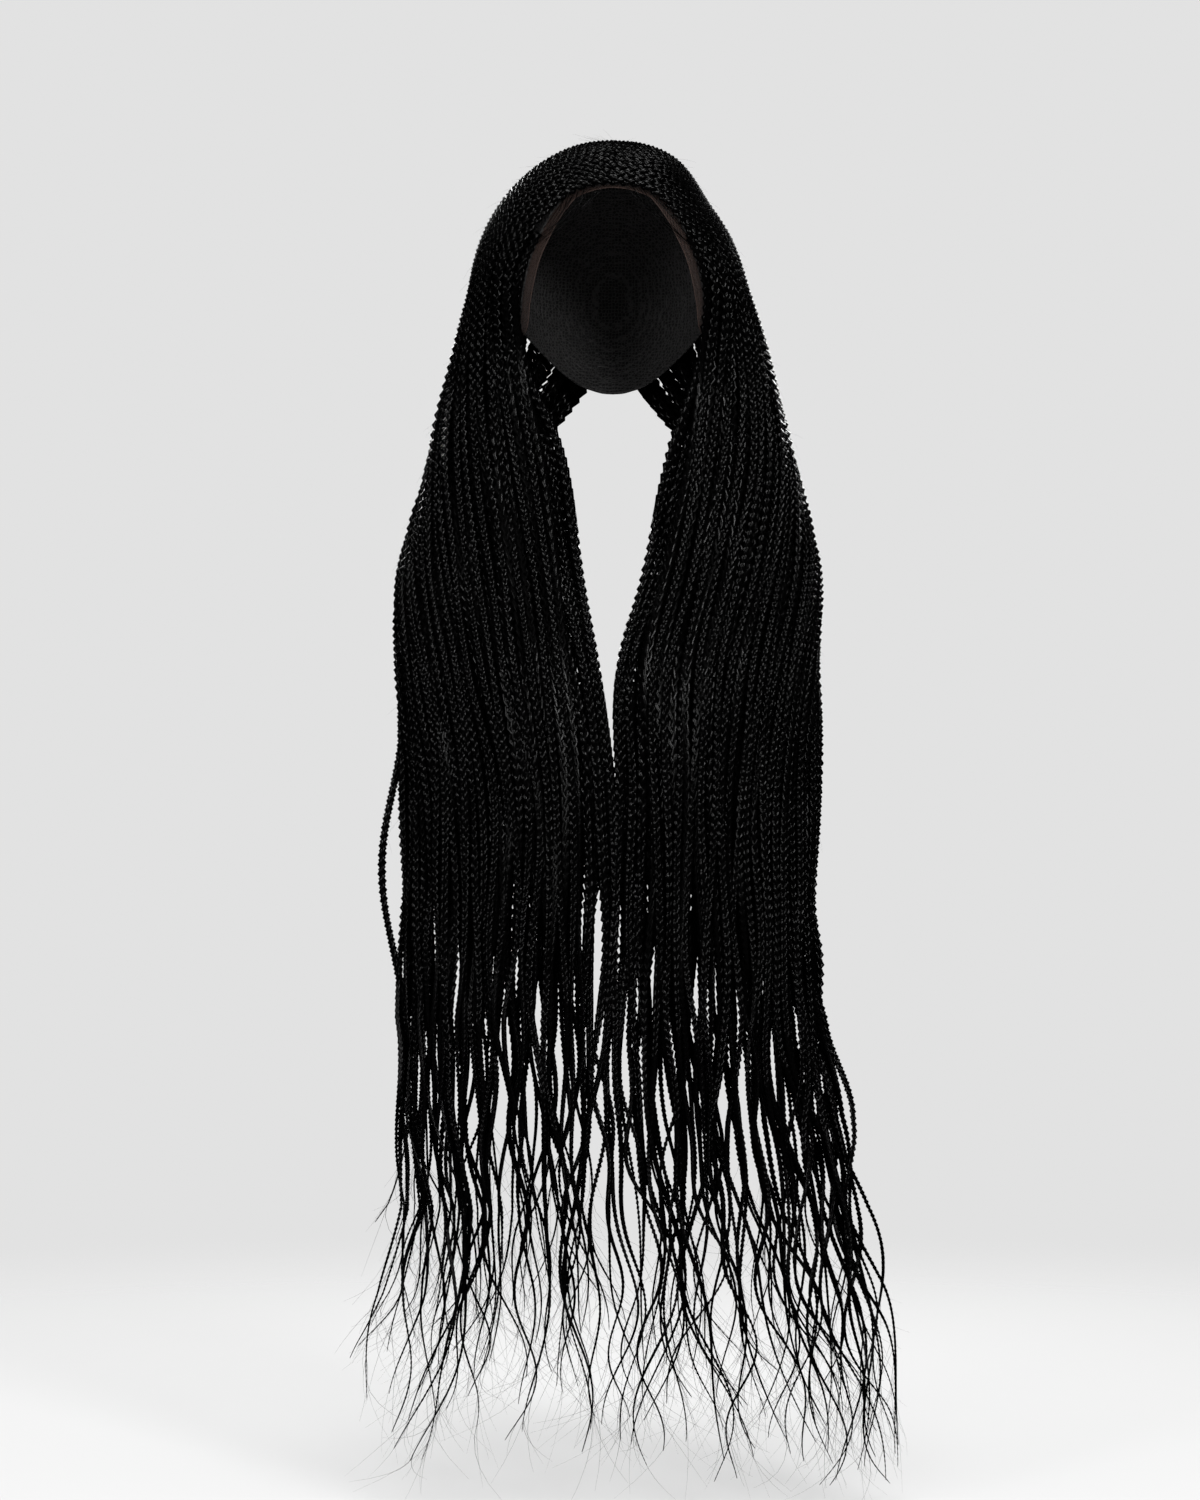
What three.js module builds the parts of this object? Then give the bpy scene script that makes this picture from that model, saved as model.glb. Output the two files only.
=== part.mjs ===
// A long braided wig: a stretch net cap with a lace front, braids laid over the cap from a centre part, and
// two curtains of hanging braid locks that come forward on both sides.
// Millimetres. +Z is up and the front is towards -Y. The origin is the top of the cap's inside.
import * as THREE from "three";

// The form that the cap is shaped on: an ellipsoid whose top is the origin.
const HEAD_HALF_WIDTH = 74;
const HEAD_HALF_LENGTH = 94;
const HEAD_HALF_HEIGHT = 95;

// Walls, and the gaps that are left between pieces.
const CAP_WALL = 1.6;
const LACE_WALL = 1;
const LACE_GAP = 0.3;
const LACE_LIFT = 0.2; // the lace starts this far off that form, inside the thickness of the cap's edge
const CROWN_GAP = 1; // between the cap and the braids laid over it
const PART_GAP = 1.5; // from the middle of the cap to the first braid on each side

// Locks on each side, and how much of its own room each lock fills.
const OUTER_LOCKS = 12;
const INNER_LOCKS = 8;
const LOCK_FILL_ACROSS = 0.92;
const LOCK_CORNERS = 6;
const LOCK_FULLNESS = 0.65; // 1 makes a lock an ellipse across, and less makes it fuller
const RIB_GROOVE = 2.2; // depth of the grooves between the locks on the crown
const COLUMNS_PER_RIB = 3;
const CROWN_ROWS = 9;

// The loose ends.
const TIP_TAPER = 0.16; // thickness of a lock's end beside that of its middle
const TIP_SPREAD = 48; // how much longer or shorter than the usual a lock may be
const TIP_SWAY = 0.2; // sideways swing of a lock's end, as a part of its room
const VARIETY = 2.4; // turn in radians from one lock's length to the next

// The lace along the hairline.
const LACE_REACH_MIDDLE = 3.5;
const LACE_REACH_TEMPLE = 11;
const LACE_TEMPLE_AZIMUTH = 46;
const LACE_END_AZIMUTH = 66;

// The cap's edge, from the middle of the front round to the nape: the turn from the front, in degrees, and
// how far the edge lies below the top.
const CAP_EDGE = [
  { azimuth: 0, drop: 30 }, // middle of the front
  { azimuth: 17, drop: 31 },
  { azimuth: 31, drop: 35 },
  { azimuth: 40, drop: 49 },
  { azimuth: 45, drop: 63 },
  { azimuth: 50, drop: 78 }, // temple
  { azimuth: 57, drop: 104 },
  { azimuth: 66, drop: 120 }, // ear tab
  { azimuth: 92, drop: 106 }, // notch behind the ear tab
  { azimuth: 120, drop: 122 },
  { azimuth: 150, drop: 152 },
  { azimuth: 168, drop: 160.5 },
  { azimuth: 180, drop: 162 }, // nape
];
const CAP_STEPS_PER_EDGE_ROW = 2;
const CAP_ROWS = 8;

// One half of the hair, as the lines that its front edge, its side and its back edge follow from the part to
// the ends. The depth is the thickness of all the hair at a station, left and right.
// Over the cap the points are ways out from the middle of the form, in x, y and z.
const CROWN_STATIONS = {
  part: { depth: [6.5, 6.5], front: [1.5, -71, -33], side: [1.5, 0, 0], back: [1.5, 58, -20] },
  rise: { depth: [10, 10], front: [23, -68, -37], side: [36, 1, -13], back: [2, 78, -39] },
  brow: { depth: [16, 5.5], front: [42, -67, -55], side: [60, 3, -38], back: [2.5, 90, -66] },
  shed: { depth: [27, 20], front: [58.5, -57.5, -89.5], side: [74, 12, -98], back: [3.5, 92, -118] },
};
// Below it they are points in x and y at a level: over for the faces of the outer locks, which fan out from
// the temples, and under for the inner ones, which close the front. The lean shifts the front edge to +X.
const HANGING_STATIONS = {
  jaw: {
    level: -152, depth: [25, 23], lean: 0,
    over: { front: [63, -48], side: [114, 14], back: [22, 110] },
    under: { front: [61, -48], side: [114, 14], back: [22, 110] },
  },
  collar: {
    level: -215, depth: [24, 24], lean: 2,
    over: { front: [52, -60], side: [130, -8], back: [74, 76] },
    under: { front: [36, -58], side: [126, -6], back: [72, 74] },
  },
  shoulder: {
    level: -287, depth: [24, 24], lean: 0,
    over: { front: [40, -81], side: [134, -44], back: [137, 20] },
    under: { front: [18, -66], side: [121, -46], back: [134, 18] },
  },
  chest: {
    level: -363, depth: [24, 24], lean: -4,
    over: { front: [27, -106], side: [120, -93], back: [148, -34] },
    under: { front: [1, -98], side: [90, -98], back: [142, -36] },
  },
  bust: {
    level: -450, depth: [24, 24], lean: 1,
    over: { front: [23, -114], side: [108, -109], back: [146, -62] },
    under: { front: [-2, -106], side: [76, -108], back: [140, -64] },
  },
  waist: {
    level: -586, depth: [23, 23], lean: 1,
    over: { front: [23, -112], side: [108, -107], back: [147, -68] },
    under: { front: [-2, -104], side: [78, -106], back: [141, -70] },
  },
  hem: {
    level: -676, depth: [23, 23], lean: 0,
    over: { front: [25, -108], side: [112, -103], back: [160, -72] },
    under: { front: [0, -100], side: [82, -102], back: [153, -74] },
  },
  tip: {
    level: -832, depth: [24, 24], lean: 0,
    over: { front: [28, -104], side: [117, -99], back: [173, -78] },
    under: { front: [2, -96], side: [86, -98], back: [164, -80] },
  },
};
const SHED = Object.keys(CROWN_STATIONS).length - 1;
const TIP = SHED + Object.keys(HANGING_STATIONS).length;
const HEM = TIP - 1;
const WAIST = HEM - 1;
const BUST = WAIST - 1;
const HAIR_PROFILE = { front: 0.5, side: 1, back: 0.72 }; // share of the depth across one half of the hair
const LOCK_START = SHED + 0.012; // just below the crown
const CURVED_RING_STEP = 0.5; // rings along a lock, in stations, where it bends

// The two halves: left is at -X. The reach widens a half, the tip reach widens its ends, and longer is how
// much further down they hang.
const HALVES = [
  { name: "left", sign: -1, depthColumn: 0, reach: 1.02, tipReach: 1, longer: 0 },
  { name: "right", sign: 1, depthColumn: 1, reach: 0.985, tipReach: 1.1, longer: 16 },
];

// The two layers of hanging locks: how deep in the hair each one starts and ends.
const LAYERS = [
  { name: "outer", lines: "over", locks: OUTER_LOCKS, from: 0, to: 0.47, phase: 0.4 },
  { name: "inner", lines: "under", locks: INNER_LOCKS, from: 0.56, to: 0.97, phase: 1.9 },
];

const HAIR_BLACK = 0x141313;
const CAP_BLACK = 0x1c1a1a;
const LACE_BROWN = 0x4a3029;

// The rows that a layer's hairs pass through, with their three points in x, y and z.
function stationRows(layerLines) {
  const hanging = Object.values(HANGING_STATIONS).map(({ level, depth, lean, ...lines }) => {
    const { front, side, back } = lines[layerLines];
    return { depth, lean, front: [...front, level], side: [...side, level], back: [...back, level] };
  });
  return [...Object.values(CROWN_STATIONS), ...hanging];
}
const STATIONS = { over: stationRows("over"), under: stationRows("under") };

// Where a lock has its rings: close together where it bends, and further apart where it hangs straight.
const lockRings = [LOCK_START];
for (let station = SHED + CURVED_RING_STEP; station <= BUST; station += CURVED_RING_STEP) {
  lockRings.push(station);
}
lockRings.push(WAIST, WAIST + CURVED_RING_STEP, HEM, TIP);

const headSize = new THREE.Vector3(HEAD_HALF_WIDTH, HEAD_HALF_LENGTH, HEAD_HALF_HEIGHT);
const headCentre = new THREE.Vector3(0, 0, -HEAD_HALF_HEIGHT);

// The place where the way from the form's middle to a point leaves the form, moved out from the surface.
function onHead(point, out) {
  const unit = point.clone().sub(headCentre).divide(headSize).normalize();
  const normal = unit.clone().divide(headSize).normalize();
  return unit.multiply(headSize).add(headCentre).addScaledVector(normal, out);
}

// A point of the form's surface from its turn from the front, in radians, and its angle down from the top.
function headPoint(azimuth, polar, out) {
  const ring = Math.sin(polar);
  const unit = new THREE.Vector3(ring * Math.sin(azimuth), -ring * Math.cos(azimuth), Math.cos(polar));
  return onHead(unit.multiply(headSize).add(headCentre), out);
}

function polarOfDrop(drop) {
  return Math.acos(1 - drop / HEAD_HALF_HEIGHT);
}

// A closed body from points and faces of three or four corners that are listed the same way round.
function body(points, faces) {
  const corners = [];
  for (const face of faces) {
    corners.push(face[0], face[1], face[2]);
    if (face.length === 4) {
      corners.push(face[0], face[2], face[3]);
    }
  }
  const geometry = new THREE.BufferGeometry().setFromPoints(points);
  geometry.setIndex(corners);
  geometry.computeVertexNormals();
  return geometry;
}

// The faces that close a band between two loops of the same length.
function bandFaces(first, second, count, flip) {
  const faces = [];
  for (let k = 0; k < count; k += 1) {
    const next = (k + 1) % count;
    const face = [first + k, first + next, second + next, second + k];
    faces.push(flip ? face.reverse() : face);
  }
  return faces;
}

// A fan that closes a loop to one point.
function fanFaces(centre, loop, count, flip) {
  const faces = [];
  for (let k = 0; k < count; k += 1) {
    const face = [centre, loop + ((k + 1) % count), loop + k];
    faces.push(flip ? face.reverse() : face);
  }
  return faces;
}

// A solid through rings of points, closed flat at both ends.
function loft(rings, flip) {
  const count = rings[0].length;
  const last = (rings.length - 1) * count;
  const points = rings.flat();
  const faces = [];
  for (let row = 0; row < rings.length - 1; row += 1) {
    faces.push(...bandFaces(row * count, (row + 1) * count, count, flip));
  }
  for (const end of [rings[0], rings[rings.length - 1]]) {
    const middle = end.reduce((sum, point) => sum.add(point), new THREE.Vector3()).divideScalar(count);
    points.push(middle);
  }
  faces.push(...fanFaces(points.length - 2, 0, count, flip));
  faces.push(...fanFaces(points.length - 1, last, count, !flip));
  return body(points, faces);
}

// The cap's edge as places with an azimuth in radians and a polar angle, from the front to the nape.
const edgeCurve = new THREE.SplineCurve(CAP_EDGE.map((row) => new THREE.Vector2(row.azimuth, row.drop)));
const edgePlaces = edgeCurve.getPoints((CAP_EDGE.length - 1) * CAP_STEPS_PER_EDGE_ROW).map((place) => ({
  azimuth: THREE.MathUtils.degToRad(place.x),
  polar: polarOfDrop(place.y),
}));

// The whole edge, once round, from the nape by the left side, the front and the right side.
const edgeRound = [
  ...edgePlaces.slice(1).reverse().map((place) => ({ azimuth: -place.azimuth, polar: place.polar })),
  ...edgePlaces.slice(0, -1),
];

// The cap: an inner and an outer dome that meet at the edge.
function capGeometry() {
  const count = edgeRound.length;
  const points = [];
  const faces = [];
  const lastLoops = [];
  for (const [out, flip] of [[0, true], [CAP_WALL, false]]) {
    const top = points.length;
    points.push(headPoint(0, 0, out));
    for (let row = 1; row <= CAP_ROWS; row += 1) {
      const loop = points.length;
      for (const place of edgeRound) {
        points.push(headPoint(place.azimuth, (place.polar * row) / CAP_ROWS, out));
      }
      if (row === 1) {
        faces.push(...fanFaces(top, loop, count, !flip));
      } else {
        faces.push(...bandFaces(loop - count, loop, count, !flip));
      }
    }
    lastLoops.push(points.length - count);
  }
  faces.push(...bandFaces(lastLoops[0], lastLoops[1], count, false));
  return body(points, faces);
}

// The lace: a strip beyond the cap's edge, widest at the temples, as sections of four corners.
function laceGeometry() {
  const limit = THREE.MathUtils.degToRad(LACE_END_AZIMUTH) + 0.001;
  const temple = THREE.MathUtils.degToRad(LACE_TEMPLE_AZIMUTH);
  const run = edgeRound.filter((place) => Math.abs(place.azimuth) <= limit);
  const hairline = run.map((place) => headPoint(place.azimuth, place.polar, 0));
  const rings = hairline.map((point, k) => {
    const before = hairline[Math.max(k - 1, 0)];
    const after = hairline[Math.min(k + 1, hairline.length - 1)];
    const normal = onHead(point, 1).sub(onHead(point, 0));
    const away = after.clone().sub(before).cross(normal).normalize();
    const toTemple = THREE.MathUtils.smoothstep(Math.abs(run[k].azimuth), 0, temple);
    const reach = THREE.MathUtils.lerp(LACE_REACH_MIDDLE, LACE_REACH_TEMPLE, toTemple);
    const near = point.clone().addScaledVector(away, LACE_GAP);
    const far = point.clone().addScaledVector(away, LACE_GAP + reach);
    const top = LACE_LIFT + LACE_WALL;
    return [onHead(near, LACE_LIFT), onHead(near, top), onHead(far, top), onHead(far, LACE_LIFT)];
  });
  return loft(rings, false);
}

// The curve through three values that stand at 0, one half and 1, and its slope.
function through(three, at) {
  const [first, middle, last] = three.map((value) => new THREE.Vector3(...value));
  const point = first.multiplyScalar(2 * (at - 0.5) * (at - 1));
  return point.addScaledVector(middle, 4 * at * (1 - at)).addScaledVector(last, 2 * at * (at - 0.5));
}

function slopeThrough(three, at) {
  const [first, middle, last] = three.map((value) => new THREE.Vector3(...value));
  const slope = first.multiplyScalar(4 * at - 3);
  return slope.addScaledVector(middle, 4 - 8 * at).addScaledVector(last, 4 * at - 1);
}

function hairDepth(half, row, across) {
  const { front, side, back } = HAIR_PROFILE;
  const share = through([[front, 0, 0], [side, 0, 0], [back, 0, 0]], across).x;
  return row.depth[half.depthColumn] * share;
}

// A point of the hair at one station: across runs from 0 at the front edge to 1 at the back, and depth from 0
// at the outer face to 1 at the inner face.
function stationPoint(half, row, station, across, depth) {
  const lines = [row.front, row.side, row.back];
  const thickness = hairDepth(half, row, across);
  const point = through(lines, across);
  if (station <= SHED) {
    return onHead(point, CAP_WALL + CROWN_GAP + (1 - depth) * thickness);
  }
  const along = slopeThrough(lines, across);
  const inward = new THREE.Vector3(-along.y, along.x, 0).normalize();
  point.addScaledVector(inward, depth * thickness);
  point.x *= half.reach * (station > WAIST ? half.tipReach : 1);
  point.x += half.sign * row.lean * (1 - across);
  return point;
}

// The line that one hair of a layer follows down all the stations.
function hairLine(half, rows, across, depth) {
  const points = rows.map((row, station) => stationPoint(half, row, station, across, depth));
  return new THREE.CatmullRomCurve3(points, false, "centripetal");
}

function alongLine(line, station) {
  return line.getPoint(station / TIP);
}

function mirrored(half, point) {
  return new THREE.Vector3(half.sign * point.x, point.y, point.z);
}

// A point of the braids over the cap: it keeps its distance from the form between the stations.
function crownPoint(half, station, across, depth, groove) {
  const rows = STATIONS.over;
  const before = Math.min(Math.floor(station), SHED - 1);
  const share = station - before;
  const [thickBefore, thickAfter] = [before, before + 1].map((place) => hairDepth(half, rows[place], across));
  const thick = THREE.MathUtils.lerp(thickBefore, thickAfter, share);
  const way = alongLine(hairLine(half, rows, across, 1), station);
  const point = onHead(way, CAP_WALL + CROWN_GAP + (1 - depth) * (thick - groove));
  point.x = Math.max(point.x, PART_GAP);
  return mirrored(half, point);
}

// The braids over one side of the cap: a shell with a rib for each lock of the outer layer.
function crownGeometry(half) {
  const columns = OUTER_LOCKS * COLUMNS_PER_RIB;
  const rings = [];
  for (let column = 0; column <= columns; column += 1) {
    const across = column / columns;
    const fromMiddle = Math.abs(((column / COLUMNS_PER_RIB) % 1) * 2 - 1);
    const groove = RIB_GROOVE * (1 - Math.sqrt(1 - fromMiddle * fromMiddle));
    const outer = [];
    const inner = [];
    for (let row = 0; row <= CROWN_ROWS; row += 1) {
      const station = (row / CROWN_ROWS) * SHED;
      outer.push(crownPoint(half, station, across, 0, groove));
      inner.push(crownPoint(half, station, across, 1, 0));
    }
    rings.push([...outer, ...inner.reverse()]);
  }
  return slab(rings, half.sign < 0);
}

// A solid through rings that each run along an outer row and back along an inner row.
function slab(rings, flip) {
  const count = rings[0].length;
  const points = rings.flat();
  const faces = [];
  for (let row = 0; row < rings.length - 1; row += 1) {
    faces.push(...bandFaces(row * count, (row + 1) * count, count, flip));
  }
  for (const [ring, turn] of [[0, flip], [rings.length - 1, !flip]]) {
    const start = ring * count;
    for (let k = 0; k < count / 2 - 1; k += 1) {
      const face = [start + k, start + k + 1, start + count - 2 - k, start + count - 1 - k];
      faces.push(turn ? face : face.reverse());
    }
  }
  return body(points, faces);
}

function fuller(value) {
  return Math.sign(value) * Math.abs(value) ** LOCK_FULLNESS;
}

// One hanging lock: a flattened tube that fills its own room in the hair and thins to its end.
function lockGeometry(half, layer, index) {
  const room = 1 / layer.locks;
  const middle = (index + 0.5) * room;
  const turn = index * VARIETY + layer.phase + half.sign;
  const longer = half.longer + TIP_SPREAD * Math.sin(turn);
  const sway = TIP_SWAY * room * Math.sin(2 * turn + 1);
  const halfRoom = (room / 2) * LOCK_FILL_ACROSS;
  const halfDepth = (layer.to - layer.from) / 2;
  const midDepth = (layer.to + layer.from) / 2;
  const rings = lockRings.map((station) => {
    const toTip = Math.max(0, (station - WAIST) / (TIP - WAIST));
    const size = THREE.MathUtils.lerp(1, TIP_TAPER, toTip);
    const ring = [];
    for (let corner = 0; corner < LOCK_CORNERS; corner += 1) {
      const angle = (corner / LOCK_CORNERS) * 2 * Math.PI;
      const across = middle + size * halfRoom * fuller(Math.cos(angle)) + sway * toTip;
      const depth = midDepth + size * halfDepth * fuller(Math.sin(angle));
      const point = alongLine(hairLine(half, STATIONS[layer.lines], across, depth), station);
      point.z -= longer * Math.max(0, station - HEM);
      ring.push(mirrored(half, point));
    }
    return ring;
  });
  return loft(rings, half.sign > 0);
}

function addPiece(group, name, geometry, colour, roughness) {
  const mesh = new THREE.Mesh(geometry, new THREE.MeshStandardMaterial({ color: colour, roughness }));
  mesh.name = name;
  group.add(mesh);
}

const wig = new THREE.Group();
wig.name = "braided_wig";
addPiece(wig, "cap", capGeometry(), CAP_BLACK, 0.9);
addPiece(wig, "lace_front", laceGeometry(), LACE_BROWN, 0.8);
for (const half of HALVES) {
  addPiece(wig, `crown_braids_${half.name}`, crownGeometry(half), HAIR_BLACK, 0.55);
  for (const layer of LAYERS) {
    for (let index = 0; index < layer.locks; index += 1) {
      const number = String(index + 1).padStart(2, "0");
      const name = `lock_${half.name}_${layer.name}_${number}`;
      addPiece(wig, name, lockGeometry(half, layer, index), HAIR_BLACK, 0.55);
    }
  }
}

export default wig;
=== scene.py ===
import math
from functools import partial

import bpy
import numpy as np
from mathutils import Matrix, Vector


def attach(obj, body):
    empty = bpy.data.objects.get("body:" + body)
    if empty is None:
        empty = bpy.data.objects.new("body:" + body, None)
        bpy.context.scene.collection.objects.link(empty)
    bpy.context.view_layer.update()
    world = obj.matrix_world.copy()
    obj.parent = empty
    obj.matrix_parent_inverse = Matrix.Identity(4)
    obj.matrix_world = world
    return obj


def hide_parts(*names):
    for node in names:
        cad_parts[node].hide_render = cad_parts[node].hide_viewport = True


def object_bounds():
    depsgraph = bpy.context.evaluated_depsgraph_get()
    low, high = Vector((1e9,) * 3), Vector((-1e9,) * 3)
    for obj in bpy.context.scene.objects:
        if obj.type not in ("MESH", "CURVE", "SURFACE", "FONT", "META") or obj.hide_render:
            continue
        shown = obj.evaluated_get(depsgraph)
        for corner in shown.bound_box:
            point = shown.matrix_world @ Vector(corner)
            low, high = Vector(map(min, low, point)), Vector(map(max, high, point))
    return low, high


# A long braided wig, dressed: three-strand braids over a net cap with a lace front. Metres, +Z up, and the
# front is towards -Y.
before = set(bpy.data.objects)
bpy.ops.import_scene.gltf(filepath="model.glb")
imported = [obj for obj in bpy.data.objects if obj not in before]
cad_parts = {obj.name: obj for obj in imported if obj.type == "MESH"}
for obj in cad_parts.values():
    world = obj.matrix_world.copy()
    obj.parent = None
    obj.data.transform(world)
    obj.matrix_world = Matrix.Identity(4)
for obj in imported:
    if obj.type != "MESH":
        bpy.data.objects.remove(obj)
cad_box = [list(corner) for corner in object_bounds()]
SEED = 42
rng = np.random.default_rng(SEED)
MM = 0.001

# The form that the cap is shaped on: an ellipsoid whose top is the origin.
FORM_HALF = np.array([0.074, 0.094, 0.095])
FORM_CENTRE = np.array([0.0, 0.0, -FORM_HALF[2]])
CAP_WALL = 0.0016
CROWN_GAP = 0.0010

# One half of the hair: its front edge, side and back edge at each station from the part to the ends, in
# millimetres. The outer braids follow the lines over, which fan out from the temples, and the inner ones the
# lines under, which close the front.
CROWN_LINES = [
    [[1.5, -71, -33], [1.5, 0, 0], [1.5, 58, -20]],
    [[23, -68, -37], [36, 1, -13], [2, 78, -39]],
    [[42, -67, -55], [60, 3, -38], [2.5, 90, -66]],
    [[58.5, -57.5, -89.5], [74, 12, -98], [3.5, 92, -118]],
]
OVER_LINES = [
    [[63, -48, -152], [114, 14, -152], [22, 110, -152]],
    [[52, -60, -215], [130, -8, -215], [74, 76, -215]],
    [[40, -81, -287], [134, -44, -287], [137, 20, -287]],
    [[27, -106, -363], [120, -93, -363], [148, -34, -363]],
    [[23, -114, -450], [108, -109, -450], [146, -62, -450]],
    [[23, -112, -586], [108, -107, -586], [147, -68, -586]],
    [[25, -108, -676], [112, -103, -676], [160, -72, -676]],
    [[28, -104, -832], [117, -99, -832], [173, -78, -832]],
]
UNDER_LINES = [
    [[61, -48, -152], [114, 14, -152], [22, 110, -152]],
    [[36, -58, -215], [126, -6, -215], [72, 74, -215]],
    [[18, -66, -287], [121, -46, -287], [134, 18, -287]],
    [[1, -98, -363], [90, -98, -363], [142, -36, -363]],
    [[-2, -106, -450], [76, -108, -450], [140, -64, -450]],
    [[-2, -104, -586], [78, -106, -586], [141, -70, -586]],
    [[0, -100, -676], [82, -102, -676], [153, -74, -676]],
    [[2, -96, -832], [86, -98, -832], [164, -80, -832]],
]
OVER = MM * np.array(CROWN_LINES + OVER_LINES)
UNDER = MM * np.array(CROWN_LINES + UNDER_LINES)

# At each station, the thickness of the hair on the left and right, and the shift of its front edge. The
# profile is the share of the thickness at the front edge, the side and the back edge.
DEPTHS = MM * np.array([
    [6.5, 6.5], [10, 10], [16, 5.5], [27, 20], [25, 23], [24, 24],
    [24, 24], [24, 24], [24, 24], [23, 23], [23, 23], [24, 24],
])
LEANS = MM * np.array([0, 0, 0, 0, 0, 2, 0, -4, 1, 1, 0, 0])
DEPTH_PROFILE = np.array([0.5, 1, 0.72])

# Stations with a name: where the braids leave the cap, where the ends start to sway, where they start to
# differ in length, and the ends.
SHED = 3
WAIST = 9
HEM = 10
TIP = 11

# The two halves. Reach widens a half, and tip_reach its ends. Longer, and drop from the front edge to the
# back, say how much lower the ends hang. Sweep is how far they are carried to +X at the front edge, and how
# that changes to the back. Draw pulls the ends together at the draw levels.
HALVES = [
    {"name": "left", "sign": -1, "column": 0, "reach": 1.02, "tip_reach": 1, "longer": 0,
     "drop": [-0.014, -0.014], "sweep": [0.004, -0.006], "draw": [1.00, 0.94, 0.88, 0.86, 0.93, 1.0]},
    {"name": "right", "sign": 1, "column": 1, "reach": 0.985, "tip_reach": 1.1, "longer": 0.016,
     "drop": [-0.006, 0.034], "sweep": [0.010, 0.0], "draw": [1.06, 1.01, 0.97, 0.93, 0.92, 1.0]},
]
DRAW_LEVELS = [-0.92, -0.85, -0.79, -0.73, -0.67, -0.60]
SWEEP_SPREAD = 0.016
SWEEP_ENDS = [-0.022, 0.030]
LENGTH_SPREAD = 0.020
LONGEST = 0.084

# The locks of each layer, and how their lengths and ends vary from one to the next.
OUTER_LOCKS = 12
INNER_LOCKS = 8
OUTER_PHASE = 0.4
INNER_PHASE = 1.9
TIP_SPREAD = 0.048
TIP_SWAY = 0.2
VARIETY = 2.4

# Where the braids lie. Places and jitters are shares of a lock's room, and the place ends shares of a half.
# Depths are shares of the hair's thickness, and the other values are lengths, apart from the number of
# braids in each inner lock.
FRONT_PLACES = [0.25, 0.75]
BEHIND_PLACES = [0.0, 0.5]
BACK_PLACES = [0.97]
PLACE_JITTER = 0.05
PLACE_ENDS = [0.004, 0.996]
INNER_BRAIDS = [7, 5, 4, 3, 3, 3, 2, 2]
INNER_JITTER = 0.15
INNER_DEPTHS = [0.62, 0.90, 0.76]
FRONT_CENTRE = 0.0030
FRONT_SUNK = 0.0035
FRONT_OVER = 0.0004
BEHIND_DEPTH = 0.42
BEHIND_LEAST = 0.0068
CROWN_LIFT = 0.0014

# Stations where braids start and reach their depth, and the share of the crown, from the front edge, that
# the front braids close by themselves.
FILL_START = 2.3
FILL_END = SHED + 0.3
FILLED_CROWN = 0.52
INNER_START = 2.7
INNER_END = SHED + 0.6

# At the part: where the hair starts, how far the braids cross it, and the stations over which that fades.
PART_EDGE = 0.0003
PART_EDGE_FADE = 0.35
PART_CROSSING = [0.0002, 0.0032]
PART_CROSSING_FADE = 0.5

# The widths of braids at each station, and the most at each length from the end.
CROWN_CLOSE = 1.08
CROWN_WIDTHS = [0.0050, 0.0084]
STATION_WIDTHS = MM * np.array([5.4, 6.9, 7.4, 7.6, 7.7, 7.7, 7.5, 7.3, 7.1, 6.8, 6.8, 6.8])
FILL_SHARES = [0.85, 0.85, 0.85, 0.95, 1.20, 1.35, 1.40, 1.40, 1.35, 1.10, 0.96, 0.96]
FILL_WIDTHS = STATION_WIDTHS * FILL_SHARES
END_LENGTHS = [0.0, 0.02, 0.045, 0.075, 0.10, 0.13, 0.17, 0.23, 0.32, 0.42]
END_WIDTHS = MM * np.array([0.6, 1.1, 1.5, 1.9, 2.35, 3.0, 3.8, 5.1, 7.4, 12])
FRONT_VARIETY = [0.95, 1.05]
FILL_VARIETY = [0.93, 1.07]
WIDTH_DRIFT = 0.07
WIDTH_WAVES = [0.05, 0.12]

# The inner braids at the front edge show in the opening: they are plaited finely, kept narrow and bowed
# outwards between these levels.
SHOWN_LOCK = 0
EDGE_BRAIDS = 4
EDGE_FILL = 1.12
EDGE_BOW = 0.006
EDGE_BOW_LEVELS = [-0.17, -0.42]

# The plait. Its periods and the swings and sizes of its strands are in widths of the braid, apart from the
# shortest period, which is a length. The twist is in radians.
STRANDS = 3
RINGS_A_TURN = 8
CROWN_PERIOD = 2.6
HANGING_PERIOD = 2.7
SHORTEST_PERIOD = 0.010
STRAND_SWING = 0.24
STRAND_DIP = 0.19
STRAND_HALF_WIDTH = 0.205
STRAND_SWELL = 0.085
STRAND_FLAT = 0.87
STRAND_VARIETY = [0.95, 1.05]
STRAND_END = 0.1
TWIST = 0.9
TWIST_WAVES = [0.15, 0.4]
TWIST_STATIONS = [SHED - 0.5, SHED + 2]

# How fine the strands are: their sides, and the width below which every second ring is left out.
FRONT_SIDES = 4
FRONT_COARSE = 0.0052
BEHIND_SIDES = 3
BEHIND_COARSE = 1.0

# How a braid's middle line is worked out: its samples, its step, the nudges that its directions and its room
# are measured by, how far its points are averaged, and the least values to divide by.
PATH_SAMPLES = 420
PATH_STEP = 0.0015
DEPTH_NUDGE = 0.2
PLACE_NUDGE = 0.01
SMOOTH_REACH = 12
SMOOTH_WIDTH = 5.0
LEAST_LENGTH = 1e-12
LEAST_ROOT = 1e-9

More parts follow.
